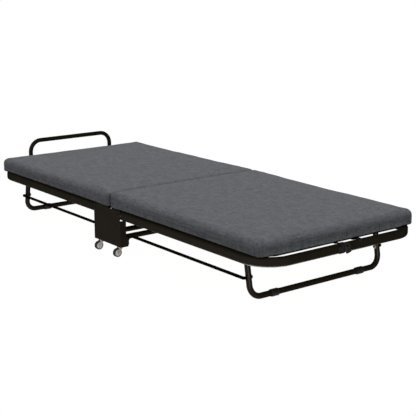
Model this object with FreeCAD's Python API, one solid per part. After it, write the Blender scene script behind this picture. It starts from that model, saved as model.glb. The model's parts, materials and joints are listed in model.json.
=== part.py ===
"""A folding rollaway bed: two hinged half frames on a castered centre unit, with slats and mattresses.

Millimetres. X runs along the bed with the head at -X and the foot at +X, Y runs across it and Z is up.
The origin is on the floor, under the middle of the bed. The bed is open, with both halves level.
Each half folds up about its hinge bolts, and two rods at its sides swing its legs in as it goes.
"""

import FreeCAD, Part
import math
import os

Vector = FreeCAD.Vector

# ---- Driving dimensions -------------------------------------------------------------------------

MATTRESS_LENGTH = 1880.0
MATTRESS_WIDTH = 776.0
MATTRESS_THICKNESS = 62.0
MATTRESS_CORNER = 25.0  # radius of its upright corners
MATTRESS_EDGE = 14.0  # radius of its top edges
MATTRESS_SPLIT = 0.5  # half of the gap between the two halves

DECK_HEIGHT = 192.0  # top of the side rails, where the mattress lies
RAIL_HEIGHT = 37.0  # flat-oval tube
RAIL_WIDTH = 20.0
RAIL_BEND = 106.0  # radius of the centreline at the corners
RAIL_SPAN = 380.5  # centreline to the middle of the bed
RAIL_END = 960.0  # centreline of the end rail
RAIL_NOSE = 19.0  # radius of the rounded rail ends round the hinge
RAIL_START = 50.0  # where the rail's sweep starts, before its nose is rounded
TUBE_WALL = 1.5

HINGE_X = 88.0
HINGE_BOLT = 4.0  # radius
HINGE_NUT_THICKNESS = 6.5
HINGE_NUT_FLATS = 13.0
POST_OUTER = 369.0  # face of the hinge post towards the rail
POST_RADIUS = 11.0
POST_BOTTOM = 100.0
RUNNING = 0.08  # radial clearance of a pin that turns in its hole
FIXED = 0.05  # radial clearance of a pin that does not turn

LEG_RADIUS = 11.0
LEG_SPAN = 324.0
LEG_TOP_X = 796.0
LEG_FOOT_X = 824.0
LEG_BAR_Z = 12.5
LEG_BEND = 46.0
FOOT_SLEEVE_RADIUS = 14.0
FOOT_SLEEVE_LENGTH = 34.0
FOOT_SLEEVE_Y = 215.0

ROD_RADIUS = 6.0
ROD_PIN = 4.0  # radius of the turned ends
ROD_SPAN = 346.0
ROD_Z = 86.7
ROD_BEND = 6.4
PIN_SHOULDER = 339.0  # where the rod narrows to its outer pin
PIN_END = 307.5
TAB_RADIUS = 8.5
TAB_THICKNESS = 3.0
TAB_BOTTOM = 50.0
TAB_INNER_X = 84.0

CROSSBAR_RADIUS = 8.0
CROSSBARS_X = (109.0, 828.0)
EAR_GAP = 1.0  # between a leg and the ears beside it
EAR_THICKNESS = 3.0
EAR_RADIUS = 10.0
EAR_NECK = 7.0  # half the height of the strip from the eye to the crossbar

SLAT_WIDTH = 50.0
SLAT_THICKNESS = 7.0
SLAT_BOTTOM = 182.0
SLAT_SPAN = 365.0  # half of a slat's length
SLAT_FIRST_X = 147.0
SLAT_PITCH = 75.0
SLAT_COUNT = 9
SLAT_LAST_X = 850.0  # one more slat beyond the legs, on the outer crossbar
HOLDER_WALL = 3.5
HOLDER_DEPTH = 19.0
HOLDER_BOTTOM = 170.0
HOLDER_TOP = 191.0

HEAD_BAR_X = 952.0  # a little inside the middle of the end rail
HEAD_BAR_RADIUS = 10.0
HEAD_BAR_SPAN = 224.0
HEAD_BAR_TOP = 313.0
HEAD_BAR_BEND = 54.5

COVER_HALF_LENGTH = 98.0
COVER_OUTSIDE = 395.5  # outer face to the middle of the bed
COVER_BOTTOM = 43.5
COVER_TOP = 194.0
COVER_SHEET = 2.0
RETURN_TOP = 153.0
RETURN_INNER = 366.0
FOOTING_TOP = 83.0
FOOTING_INNER = 356.0
CASTER_PLATE_THICKNESS = 3.0
CASTER_PLATE_HALF = 90.0  # half of its length along the bed

CENTRE_TUBE_RADIUS = 11.0
CENTRE_TUBE_X = 49.0
CENTRE_TUBE_Z = 70.5

CASTER_X = 70.0
CASTER_Y = 376.0
CASTER_TRAIL = 16.0
WHEEL_RADIUS = 17.8
WHEEL_WIDTH = 14.0
HUB_RADIUS = 13.4
STEM_RADIUS = 5.0
AXLE_RADIUS = 2.0
CUP_RADIUS = 13.0
CUP_HEIGHT = 2.5

WEBBING_WIDTH = 20.0
WEBBING_THICKNESS = 2.0
WEBBING_SLACK = 0.25  # between the webbing and the rail
STRAP_Y = -22.0
TIE_Y = 66.0
TIE_EDGE = 183.0  # how far down the rail the tie reaches
FREE_END_REACH = 17.0
BUCKLE_THICKNESS = 4.0
BUCKLE_OUTLINE = ((-24.0, 195.0), (1.0, 191.0), (15.0, 158.0), (-9.0, 153.0))  # its corners, as (y, z)
BUCKLE_WINDOW = ((-18.0, 187.5), (-2.0, 185.0), (1.0, 178.5), (-15.0, 181.0))

# ---- Worked out from them -----------------------------------------------------------------------

RAIL_Z = DECK_HEIGHT - RAIL_HEIGHT / 2
MATTRESS_TOP = DECK_HEIGHT + MATTRESS_THICKNESS
MATTRESS_END = MATTRESS_LENGTH / 2
LEG_LENGTH = math.hypot(LEG_FOOT_X - LEG_TOP_X, RAIL_Z - LEG_BAR_Z)
LEG_SIN = (LEG_FOOT_X - LEG_TOP_X) / LEG_LENGTH
LEG_COS = (RAIL_Z - LEG_BAR_Z) / LEG_LENGTH
# The rods are parallel to the rails and as long between pins, so leg, rail and rod fold as a parallelogram.
ROD_DROP = RAIL_Z - ROD_Z
ROD_OFFSET = ROD_DROP * LEG_SIN / LEG_COS
ROD_OUTER_X = LEG_TOP_X + ROD_OFFSET
ROD_INNER_X = HINGE_X + ROD_OFFSET
CASTER_PLATE_TOP = COVER_BOTTOM + COVER_SHEET + CASTER_PLATE_THICKNESS
AXLE_Y = -CASTER_Y - CASTER_TRAIL
FOLD_CLEAR = HINGE_X - MATTRESS_SPLIT  # radius that swings past the other half without touching it
STRAP_FACE = RAIL_END + RAIL_WIDTH / 2 + WEBBING_SLACK + WEBBING_THICKNESS

ALONG_X = Vector(1, 0, 0)
ALONG_Y = Vector(0, 1, 0)
ALONG_Z = Vector(0, 0, 1)
ORIGIN = Vector(0, 0, 0)


# ---- Small tools --------------------------------------------------------------------------------


def box(low, high):
    """A box between two corners, given as (x, y, z)."""
    size = [b - a for a, b in zip(low, high)]
    return Part.makeBox(size[0], size[1], size[2], Vector(*low))


def rod_y(x, z, radius, y_from, y_to):
    """A cylinder along Y between two y values."""
    start = min(y_from, y_to)
    return Part.makeCylinder(radius, abs(y_to - y_from), Vector(x, start, z), ALONG_Y)


def rod_z(x, y, radius, z_from, z_to):
    """A cylinder along Z between two z values."""
    return Part.makeCylinder(radius, z_to - z_from, Vector(x, y, z_from), ALONG_Z)


def rod_x(y, z, radius, x_from, x_to):
    """A cylinder along X between two x values."""
    return Part.makeCylinder(radius, x_to - x_from, Vector(x_from, y, z), ALONG_X)


def fused(shapes):
    """One solid from shapes that overlap or share faces."""
    first = shapes[0]
    if len(shapes) == 1:
        return first
    return first.fuse(shapes[1:]).removeSplitter()


def group(shapes):
    """Separate solids kept together in one node."""
    return Part.makeCompound(shapes)


def other_side(shape):
    """The same shape on the far side of the bed."""
    return shape.mirror(ORIGIN, ALONG_Y)


def head_end(shape):
    """The same shape on the head half of the bed."""
    return shape.mirror(ORIGIN, ALONG_X)


def both_sides(shape):
    return [shape, other_side(shape)]


def four_corners(shape):
    """The shape at the near and far side of the foot and the head half."""
    pair = both_sides(shape)
    return pair + [head_end(one) for one in pair]


def bent_wire(points, radii):
    """A wire of straight runs with a tangent arc of the given radius at each inner point."""
    edges = []
    start = points[0]
    for before, corner, after, radius in zip(points, points[1:], points[2:], radii):
        back = (before - corner).normalize()
        ahead = (after - corner).normalize()
        half = back.getAngle(ahead) / 2
        reach = radius / math.tan(half)
        arc_start = corner + back * reach
        arc_end = corner + ahead * reach
        middle = (back + ahead).normalize()
        centre = corner + middle * (radius / math.sin(half))
        edges.append(Part.LineSegment(start, arc_start).toShape())
        edges.append(Part.Arc(arc_start, centre - middle * radius, arc_end).toShape())
        start = arc_end
    edges.append(Part.LineSegment(start, points[-1]).toShape())
    return Part.Wire(edges)


def swept(path, profile):
    """A profile wire, drawn at the path's start, carried along the path as a solid."""
    return path.makePipeShell([profile], True, False)


def round_bar(points, radii, radius):
    """A round bar along a bent centreline."""
    path = bent_wire(points, radii)
    direction = points[1] - points[0]
    circle = Part.Wire(Part.Circle(points[0], direction, radius).toShape())
    return swept(path, circle)


def oval_wire(centre, width, height):
    """A flat-oval outline with upright long sides, in the YZ plane through centre."""
    r = width / 2
    flat = height / 2 - r
    top = centre + Vector(0, 0, flat)
    bottom = centre - Vector(0, 0, flat)
    side = Vector(0, r, 0)
    tip = Vector(0, 0, r)
    return Part.Wire(
        [
            Part.LineSegment(bottom + side, top + side).toShape(),
            Part.Arc(top + side, top + tip, top - side).toShape(),
            Part.LineSegment(top - side, bottom - side).toShape(),
            Part.Arc(bottom - side, bottom - tip, bottom + side).toShape(),
        ]
    )


def oval_bar_y(x, z, width, height, y_from, y_to):
    """A flat-oval bar along Y with its long sides upright."""
    outline = oval_wire(ORIGIN, width, height)
    outline.rotate(ORIGIN, ALONG_Z, -90)
    outline.translate(Vector(x, y_from, z))
    return Part.Face(outline).extrude(Vector(0, y_to - y_from, 0))


def plate_y(points, y_from, y_to):
    """A flat plate across Y whose outline is given as (x, z) corners."""
    corners = [Vector(x, y_from, z) for x, z in points]
    outline = Part.makePolygon(corners + corners[:1])
    return Part.Face(outline).extrude(Vector(0, y_to - y_from, 0))


def hexagon_y(x, z, across_flats, y_from, y_to):
    """A hexagonal nut blank along Y."""
    radius = across_flats / math.sqrt(3)
    angles = [math.radians(60 * k) for k in range(6)]
    points = [(x + radius * math.cos(a), z + radius * math.sin(a)) for a in angles]
    return plate_y(points, min(y_from, y_to), max(y_from, y_to))


def edges_where(shape, test):
    """The edges whose two ends both pass the test."""
    return [e for e in shape.Edges if len(e.Vertexes) == 2 and all(test(v.Point) for v in e.Vertexes)]


# ---- Centre unit --------------------------------------------------------------------------------


def side_cover():
    """The pressed cover plate of one side, with a return at each end and a flange underneath."""
    bend = 3.0
    outer = box(
        (-COVER_HALF_LENGTH, -COVER_OUTSIDE, COVER_BOTTOM),
        (COVER_HALF_LENGTH, -FOOTING_INNER, COVER_TOP),
    )
    outside = edges_where(outer, lambda p: p.y < -COVER_OUTSIDE + 1)
    outer = outer.makeFillet(bend, [e for e in outside if e.BoundBox.ZMin < COVER_TOP - 1])
    inside = box(
        (-COVER_HALF_LENGTH + COVER_SHEET, -COVER_OUTSIDE + COVER_SHEET, COVER_BOTTOM + COVER_SHEET),
        (COVER_HALF_LENGTH - COVER_SHEET, -FOOTING_INNER + 5, COVER_TOP + 5),
    )
    plate_back = -COVER_OUTSIDE + COVER_SHEET
    above_return = box((-200, plate_back, RETURN_TOP), (200, -300, COVER_TOP + 5))
    above_footing = box((-200, -RETURN_INNER, FOOTING_TOP), (200, -300, COVER_TOP + 5))
    cover = outer.cut([inside, above_return, above_footing])
    for x in (-HINGE_X, HINGE_X):
        cover = cover.cut(rod_y(x, RAIL_Z, HINGE_BOLT + FIXED, -COVER_OUTSIDE - 5, -COVER_OUTSIDE + 5))
    for x in (-CASTER_X, CASTER_X):
        cover = cover.cut(rod_z(x, -CASTER_Y, STEM_RADIUS + RUNNING, COVER_BOTTOM - 5, COVER_BOTTOM + 5))
    return cover


def caster_plate():
    """The thick plate inside one cover that the two caster stems turn in."""
    plate = box(
        (-CASTER_PLATE_HALF, -COVER_OUTSIDE + COVER_SHEET + 1, COVER_BOTTOM + COVER_SHEET),
        (CASTER_PLATE_HALF, -FOOTING_INNER - 2, CASTER_PLATE_TOP),
    )
    for x in (-CASTER_X, CASTER_X):
        plate = plate.cut(rod_z(x, -CASTER_Y, STEM_RADIUS + RUNNING, COVER_BOTTOM, CASTER_PLATE_TOP + 5))
    return plate


def centre_tube():
    """One of the two round tubes that join the two covers."""
    reach = COVER_OUTSIDE - COVER_SHEET
    outer = rod_y(CENTRE_TUBE_X, CENTRE_TUBE_Z, CENTRE_TUBE_RADIUS, -reach, reach)
    bore = rod_y(CENTRE_TUBE_X, CENTRE_TUBE_Z, CENTRE_TUBE_RADIUS - TUBE_WALL, -reach - 1, reach + 1)
    return outer.cut(bore)


def hinge_post():
    """The upright ear inside a rail's end that holds the inner end of the hinge bolt."""
    strip = box(
        (HINGE_X - POST_RADIUS, -POST_OUTER, POST_BOTTOM),
        (COVER_HALF_LENGTH - COVER_SHEET, -RETURN_INNER, RAIL_Z),
    )
    eye = rod_y(HINGE_X, RAIL_Z, POST_RADIUS, -POST_OUTER, -RETURN_INNER)
    hole = rod_y(HINGE_X, RAIL_Z, HINGE_BOLT + FIXED, -POST_OUTER - 1, -RETURN_INNER + 1)
    return fused([strip, eye]).cut(hole)


def hinge_bolt():
    """A domed hinge bolt from the cover through the rail and the post to its nut."""
    head_height = 3.4
    head_radius = 7.5
    inner_end = -RETURN_INNER + HINGE_NUT_THICKNESS + 1.5
    shank = rod_y(HINGE_X, RAIL_Z, HINGE_BOLT, -COVER_OUTSIDE, inner_end)
    disc = rod_y(HINGE_X, RAIL_Z, head_radius, -COVER_OUTSIDE - head_height, -COVER_OUTSIDE)
    rim = [e for e in disc.Edges if e.BoundBox.YMax < -COVER_OUTSIDE - head_height + 0.1]
    head = disc.makeFillet(head_height - 0.6, rim)
    return fused([head, shank])


def hinge_nut():
    """The lock nut of a hinge bolt, against the inner face of its post."""
    seat = -RETURN_INNER
    blank = hexagon_y(HINGE_X, RAIL_Z, HINGE_NUT_FLATS, seat, seat + HINGE_NUT_THICKNESS)
    return blank.cut(rod_y(HINGE_X, RAIL_Z, HINGE_BOLT + FIXED, seat - 1, seat + HINGE_NUT_THICKNESS + 1))


def hinge_washers():
    """The two spacer washers of a hinge bolt, one on each side of the rail."""
    play = 0.5
    radius = 9.0
    rail_outside = -RAIL_SPAN - RAIL_WIDTH / 2
    rail_inside = -RAIL_SPAN + RAIL_WIDTH / 2
    seats = (
        (-COVER_OUTSIDE + COVER_SHEET, rail_outside - play),
        (rail_inside + play, -POST_OUTER),
    )
    washers = []
    for y_from, y_to in seats:
        disc = rod_y(HINGE_X, RAIL_Z, radius, y_from, y_to)
        washers.append(disc.cut(rod_y(HINGE_X, RAIL_Z, HINGE_BOLT + FIXED, y_from - 1, y_to + 1)))
    return washers


def rod_tab():
    """The small plate that holds a rod's inner end, welded to the edge of the cover's return."""
    y_from = -FOOTING_INNER
    y_to = y_from + TAB_THICKNESS
    strip = plate_y(
        [
            (TAB_INNER_X, TAB_BOTTOM),
            (COVER_HALF_LENGTH, TAB_BOTTOM),
            (COVER_HALF_LENGTH, ROD_Z - 2 * TAB_RADIUS),
            (ROD_INNER_X + TAB_RADIUS, ROD_Z - 4),
            (ROD_INNER_X, ROD_Z + TAB_RADIUS),
            (TAB_INNER_X + TAB_RADIUS, ROD_Z + TAB_RADIUS),
            (TAB_INNER_X, ROD_Z),
        ],
        y_from,
        y_to,
    )
    eye = rod_y(ROD_INNER_X, ROD_Z, TAB_RADIUS, y_from, y_to)
    hole = rod_y(ROD_INNER_X, ROD_Z, ROD_PIN + RUNNING, y_from - 1, y_to + 1)
    return fused([strip, eye]).cut(hole)


def bearing_cup():
    """The ball-bearing cup under a cover's flange, round a caster stem."""
    low = COVER_BOTTOM - CUP_HEIGHT
    cup = rod_z(CASTER_X, -CASTER_Y, CUP_RADIUS, low, COVER_BOTTOM)
    rim = [e for e in cup.Edges if e.BoundBox.ZMax < low + 0.1]
    cup = cup.makeFillet(1.2, rim)
    return cup.cut(rod_z(CASTER_X, -CASTER_Y, STEM_RADIUS + RUNNING, low - 1, COVER_BOTTOM + 1))


# ---- Casters ------------------------------------------------------------------------------------


def caster_fork():
    """A pressed fork and its stem. The wheel trails outwards, away from the bed."""
    gap = 0.4  # below the bearing cup
    crown_top = COVER_BOTTOM - CUP_HEIGHT - gap
    crown_bottom = crown_top - 2.6
    crown_radius = 12.0
    corner = 4.0
    cheek_inside = WHEEL_WIDTH / 2 + 1.0
    cheek = 1.5
    eye_radius = 5.4
    crown = rod_z(CASTER_X, -CASTER_Y, crown_radius, crown_bottom, crown_top)
    bridge = box(
        (CASTER_X - cheek_inside - cheek, -CASTER_Y - 13, crown_bottom),
        (CASTER_X + cheek_inside + cheek, -CASTER_Y + 10, crown_top),
    )
    upright = [e for e in bridge.Edges if e.BoundBox.ZLength > 1]
    bridge = bridge.makeFillet(corner, upright)
    pieces = [crown, bridge]
    for side in (-1, 1):
        x_from = CASTER_X + side * cheek_inside
        x_to = x_from + side * cheek
        outline = [
            Vector(x_from, -CASTER_Y + 6, crown_top - 1.0),
            Vector(x_from, -CASTER_Y - 9, crown_top - 1.0),
            Vector(x_from, -CASTER_Y - 13, crown_top - 5.0),
            Vector(x_from, AXLE_Y - 5.2, WHEEL_RADIUS + 1.4),
            Vector(x_from, AXLE_Y + 1.6, WHEEL_RADIUS - 5.1),
            Vector(x_from, AXLE_Y + 4.8, WHEEL_RADIUS - 2.4),
        ]
        plate = Part.Face(Part.makePolygon(outline + outline[:1])).extrude(Vector(x_to - x_from, 0, 0))
        eye = rod_x(AXLE_Y, WHEEL_RADIUS, eye_radius, min(x_from, x_to), max(x_from, x_to))
        pieces.append(plate)
        pieces.append(eye)
    stem_top = CASTER_PLATE_TOP + 0.5
    pieces.append(rod_z(CASTER_X, -CASTER_Y, STEM_RADIUS, crown_bottom, stem_top + 2.5))
    pieces.append(rod_z(CASTER_X, -CASTER_Y, 7.5, stem_top, stem_top + 2.0))
    fork = fused(pieces)
    bore = rod_x(AXLE_Y, WHEEL_RADIUS, AXLE_RADIUS, CASTER_X - 20, CASTER_X + 20)
    return fork.cut(bore)


def caster_axle():
    """The riveted axle of a caster wheel."""
    reach = WHEEL_WIDTH / 2 + 2.5
    shank = rod_x(AXLE_Y, WHEEL_RADIUS, AXLE_RADIUS, CASTER_X - reach, CASTER_X + reach)
    heads = [
        rod_x(AXLE_Y, WHEEL_RADIUS, 3.4, CASTER_X + reach, CASTER_X + reach + 1.2),
        rod_x(AXLE_Y, WHEEL_RADIUS, 3.4, CASTER_X - reach - 1.2, CASTER_X - reach),
    ]
    return fused([shank] + heads)


def caster_wheel():
    """The moulded wheel centre, dished on both faces round a hub."""
    half = WHEEL_WIDTH / 2 - 0.5
    dish_depth = 2.2
    wheel = rod_x(AXLE_Y, WHEEL_RADIUS, HUB_RADIUS, CASTER_X - half, CASTER_X + half)
    for side in (-1, 1):
        face = CASTER_X + side * half
        inner = face - side * dish_depth
        ring = rod_x(AXLE_Y, WHEEL_RADIUS, HUB_RADIUS - 2.0, min(face, inner), max(face, inner))
        boss = rod_x(AXLE_Y, WHEEL_RADIUS, 4.5, min(face, inner), max(face, inner))
        wheel = wheel.cut(ring.cut(boss))
    return wheel.cut(rod_x(AXLE_Y, WHEEL_RADIUS, AXLE_RADIUS + RUNNING, CASTER_X - 10, CASTER_X + 10))


def caster_tyre():
    """The dark tread round a caster wheel."""
    half = WHEEL_WIDTH / 2
    tyre = rod_x(AXLE_Y, WHEEL_RADIUS, WHEEL_RADIUS, CASTER_X - half, CASTER_X + half)
    tyre = tyre.makeFillet(1.6, [e for e in tyre.Edges if e.Length > 60 and len(e.Vertexes) == 1])
    return tyre.cut(rod_x(AXLE_Y, WHEEL_RADIUS, HUB_RADIUS, CASTER_X - half - 1, CASTER_X + half + 1))


# ---- Half frame (foot half; the head half is its mirror image) ------------------------------------


def rail_path():
    """The centreline of a half frame's rail, from its near hinge end to its far one."""
    points = [
        Vector(RAIL_START, -RAIL_SPAN, RAIL_Z),
        Vector(RAIL_END, -RAIL_SPAN, RAIL_Z),
        Vector(RAIL_END, RAIL_SPAN, RAIL_Z),
        Vector(RAIL_START, RAIL_SPAN, RAIL_Z),
    ]
    return bent_wire(points, [RAIL_BEND, RAIL_BEND])


def rail_bar(width, height):
    """A solid flat-oval bar along the whole bent rail."""
    start = Vector(RAIL_START, -RAIL_SPAN, RAIL_Z)
    return swept(rail_path(), oval_wire(start, width, height))


def nose_keep():
    """The space a rail's rounded end may fill: all beyond the hinge, and a round nose about it."""
    beyond = box((HINGE_X, -500, 0), (RAIL_END + 100, 500, 400))
    nose = rod_y(HINGE_X, RAIL_Z, RAIL_NOSE, -500, 500)
    return fused([beyond, nose])


def frame_rail():
    """The U-shaped flat-oval tube of one half frame."""
    outer = rail_bar(RAIL_WIDTH, RAIL_HEIGHT)
    inner = rail_bar(RAIL_WIDTH - 2 * TUBE_WALL, RAIL_HEIGHT - 2 * TUBE_WALL)
    rail = outer.common(nose_keep()).cut(inner)
    return rail.cut(rod_y(HINGE_X, RAIL_Z, HINGE_BOLT + RUNNING, -500, 500))


def rail_plug():
    """The plastic plug in the hinge end of a rail, which keeps the bolt from crushing the tube."""
    reach = 24.0
    width = RAIL_WIDTH - 2 * TUBE_WALL
    height = RAIL_HEIGHT - 2 * TUBE_WALL - 0.3
    start = Vector(HINGE_X - RAIL_NOSE - 5, -RAIL_SPAN, RAIL_Z)
    bar = Part.Face(oval_wire(start, width, height)).extrude(Vector(RAIL_NOSE + 5 + reach, 0, 0))
    plug = bar.common(nose_keep())
    return plug.cut(rod_y(HINGE_X, RAIL_Z, HINGE_BOLT + RUNNING, -500, 500))


def crossbar(x):
    """A round tube welded between the inner faces of the rails."""
    reach = RAIL_SPAN - RAIL_WIDTH / 2
    outer = rod_y(x, RAIL_Z, CROSSBAR_RADIUS, -reach, reach)
    return outer.cut(rod_y(x, RAIL_Z, CROSSBAR_RADIUS - TUBE_WALL, -reach - 1, reach + 1))


def leg_ears():
    """The two ears that hold the top of the near leg, welded to the outer crossbar."""
    bar_x = CROSSBARS_X[1]
    ears = []
    for side in (-1, 1):
        near_face = -LEG_SPAN + side * (LEG_RADIUS + EAR_GAP)
        y_from = min(near_face, near_face + side * EAR_THICKNESS)
        y_to = y_from + EAR_THICKNESS
        strip = box((LEG_TOP_X, y_from, RAIL_Z - EAR_NECK), (bar_x - 2, y_to, RAIL_Z + EAR_NECK))
        eye = rod_y(LEG_TOP_X, RAIL_Z, EAR_RADIUS, y_from, y_to)
        ear = fused([strip, eye]).cut(rod_y(bar_x, RAIL_Z, CROSSBAR_RADIUS, y_from - 1, y_to + 1))
        ears.append(ear.cut(rod_y(LEG_TOP_X, RAIL_Z, ROD_PIN + FIXED, y_from - 1, y_to + 1)))
    return ears


def leg_rivet():
    """The pivot rivet at the top of the near leg."""
    reach = LEG_RADIUS + EAR_GAP + EAR_THICKNESS
    head = 3.0
    shank = rod_y(LEG_TOP_X, RAIL_Z, ROD_PIN, -LEG_SPAN - reach, -LEG_SPAN + reach)
    outer_head = rod_y(LEG_TOP_X, RAIL_Z, 7.0, -LEG_SPAN - reach - head, -LEG_SPAN - reach)
    inner_head = rod_y(LEG_TOP_X, RAIL_Z, 6.5, -LEG_SPAN + reach, -LEG_SPAN + reach + head)
    return fused([shank, outer_head, inner_head])


def leg_point(y, s):
    """A point on the sloping plane of the legs, s below the pivot line."""
    return Vector(LEG_TOP_X + s * LEG_SIN, y, RAIL_Z - s * LEG_COS)


def leg_bar(start, radius):
    """A round bar along the leg's U, from start below the pivot line on each side."""
    points = [
        leg_point(-LEG_SPAN, start),
        leg_point(-LEG_SPAN, LEG_LENGTH),
        leg_point(LEG_SPAN, LEG_LENGTH),
        leg_point(LEG_SPAN, start),
    ]
    return round_bar(points, [LEG_BEND, LEG_BEND], radius)


def leg_tube():
    """The U-shaped leg, with closed rounded tops round the pivot rivets."""
    solid_top = 14.0
    outer = leg_bar(-LEG_RADIUS - 4, LEG_RADIUS)
    hollow = leg_bar(solid_top, LEG_RADIUS - TUBE_WALL)
    below = Part.makeBox(400, 1000, 400, Vector(-200, -500, -400))
    below.rotate(ORIGIN, ALONG_Y, -math.degrees(math.asin(LEG_SIN)))
    below.translate(Vector(LEG_TOP_X, 0, RAIL_Z))
    top = rod_y(LEG_TOP_X, RAIL_Z, LEG_RADIUS + 0.4, -500, 500)
    leg = outer.common(fused([below, top])).cut(hollow)
    for radius, x, z in (
        (ROD_PIN + RUNNING, LEG_TOP_X, RAIL_Z),
        (ROD_PIN + 0.4, ROD_OUTER_X, ROD_Z),
    ):
        leg = leg.cut(rod_y(x, z, radius, -500, 500))
    return leg


def foot_sleeve():
    """The plastic sleeve round the leg's bar that stands on the floor."""
    half = FOOT_SLEEVE_LENGTH / 2
    outer = rod_y(LEG_FOOT_X, LEG_BAR_Z, FOOT_SLEEVE_RADIUS, -FOOT_SLEEVE_Y - half, -FOOT_SLEEVE_Y + half)
    outer = outer.makeChamfer(1.6, [e for e in outer.Edges if len(e.Vertexes) == 1])
    under_floor = box((LEG_FOOT_X - 30, -FOOT_SLEEVE_Y - 30, -30), (LEG_FOOT_X + 30, -FOOT_SLEEVE_Y + 30, 0))
    bore = rod_y(LEG_FOOT_X, LEG_BAR_Z, LEG_RADIUS, -FOOT_SLEEVE_Y - 30, -FOOT_SLEEVE_Y + 30)
    return outer.cut([under_floor, bore])


def fold_rod():
    """The near rod from the centre unit to the leg, with a turned pin bent out of each end."""
    shoulder_inner = FOOTING_INNER - 3.4
    body = round_bar(
        [
            Vector(ROD_OUTER_X, -PIN_SHOULDER, ROD_Z),
            Vector(ROD_OUTER_X, -ROD_SPAN, ROD_Z),
            Vector(ROD_INNER_X, -ROD_SPAN, ROD_Z),
            Vector(ROD_INNER_X, -shoulder_inner, ROD_Z),
        ],
        [ROD_BEND, ROD_BEND],
        ROD_RADIUS,
    )
    outer_pin = rod_y(ROD_OUTER_X, ROD_Z, ROD_PIN, -PIN_SHOULDER, -PIN_END)
    inner_pin = rod_y(ROD_INNER_X, ROD_Z, ROD_PIN, -shoulder_inner, -FOOTING_INNER - 0.4)
    return fused([body, outer_pin, inner_pin])


def push_nut():
    """The round push nut on a rod's pin, at the inner side of the leg."""
    seat = -LEG_SPAN + LEG_RADIUS + 0.6
    disc = rod_y(ROD_OUTER_X, ROD_Z, 8.0, seat, seat + 1.2)
    dome = rod_y(ROD_OUTER_X, ROD_Z, 5.6, seat + 1.2, seat + 3.6)
    return fused([disc, dome]).cut(rod_y(ROD_OUTER_X, ROD_Z, ROD_PIN, seat - 1, seat + 10))


def held_slats():
    """The x of each slat that sits in holders on the rails."""
    return [SLAT_FIRST_X + SLAT_PITCH * k for k in range(SLAT_COUNT)]


def slat(x):
    """One sprung wooden slat with eased edges."""
    half = SLAT_WIDTH / 2
    board = box((x - half, -SLAT_SPAN, SLAT_BOTTOM), (x + half, SLAT_SPAN, SLAT_BOTTOM + SLAT_THICKNESS))
    return board.makeFillet(2.0, [e for e in board.Edges if e.Length > 2 * SLAT_SPAN - 1])


def slat_holder(x):
    """The plastic pocket on the near rail that one end of a slat sits in."""
    half = SLAT_WIDTH / 2 + HOLDER_WALL
    rail_face = -RAIL_SPAN + RAIL_WIDTH / 2
    block = box((x - half, rail_face, HOLDER_BOTTOM), (x + half, rail_face + HOLDER_DEPTH, HOLDER_TOP))
    open_end = edges_where(block, lambda p: p.y > rail_face + HOLDER_DEPTH - 1)
    block = block.makeFillet(2.5, [e for e in open_end if e.Length < 30])
    half_pocket = SLAT_WIDTH / 2
    pocket = box(
        (x - half_pocket, -SLAT_SPAN, SLAT_BOTTOM),
        (x + half_pocket, -300, SLAT_BOTTOM + SLAT_THICKNESS),
    )
    return block.cut(pocket)


def whole_mattress():
    """One mattress half with rounded corners and softer top edges."""
    half = MATTRESS_WIDTH / 2
    body = box((MATTRESS_SPLIT, -half, DECK_HEIGHT), (MATTRESS_END, half, MATTRESS_TOP))
    upright = [e for e in body.Edges if e.BoundBox.ZLength > MATTRESS_THICKNESS - 1]
    body = body.makeFillet(MATTRESS_CORNER, [e for e in upright if e.BoundBox.XMin > MATTRESS_SPLIT + 1])
    top = [e for e in body.Edges if e.BoundBox.ZMin > MATTRESS_TOP - 1 and e.BoundBox.XMax > 2]
    body = body.makeFillet(MATTRESS_EDGE, top)
    bottom = [e for e in body.Edges if e.BoundBox.ZMax < DECK_HEIGHT + 1 and e.BoundBox.XMax > 2]
    return body.makeFillet(6.0, bottom)


def turning_space(radius):
    """All that stays this side of the split when the half folds up."""
    beyond = box((HINGE_X, -600, 0), (RAIL_END + 100, 600, 400))
    return fused([beyond, rod_y(HINGE_X, RAIL_Z, radius, -600, 600)])


def mattress():
    """The mattress half, short of the corner that squeezes against the other half in mid-fold."""
    return whole_mattress().common(turning_space(FOLD_CLEAR))


def mattress_fold_edge():
    """The foam beyond it, up to the split, which is squeezed while the bed folds."""
    above = box((-10, -600, DECK_HEIGHT + 8), (HINGE_X, 600, MATTRESS_TOP + 10))
    return whole_mattress().common(above).cut(turning_space(FOLD_CLEAR))


def webbing_loop(y):
    """Webbing wound once round the end rail at y."""
    y_from = y - WEBBING_WIDTH / 2
    y_to = y + WEBBING_WIDTH / 2
    width = RAIL_WIDTH + 2 * WEBBING_SLACK
    height = RAIL_HEIGHT + 2 * WEBBING_SLACK
    thick = 2 * WEBBING_THICKNESS
    loop = oval_bar_y(RAIL_END, RAIL_Z, width + thick, height + thick, y_from, y_to)
    return loop.cut(oval_bar_y(RAIL_END, RAIL_Z, width, height, y_from - 1, y_to + 1))


def webbing_tail(y):
    """The tail of a webbing loop, run in under the mattress to the last slat."""
    low = SLAT_BOTTOM + SLAT_THICKNESS + 0.4
    tail = box(
        (SLAT_LAST_X, y - WEBBING_WIDTH / 2, low),
        (RAIL_END - 2, y + WEBBING_WIDTH / 2, low + WEBBING_THICKNESS),
    )
    width = RAIL_WIDTH + 2 * WEBBING_SLACK
    height = RAIL_HEIGHT + 2 * WEBBING_SLACK
    return tail.cut(oval_bar_y(RAIL_END, RAIL_Z, width, height, y - 100, y + 100))


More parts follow.
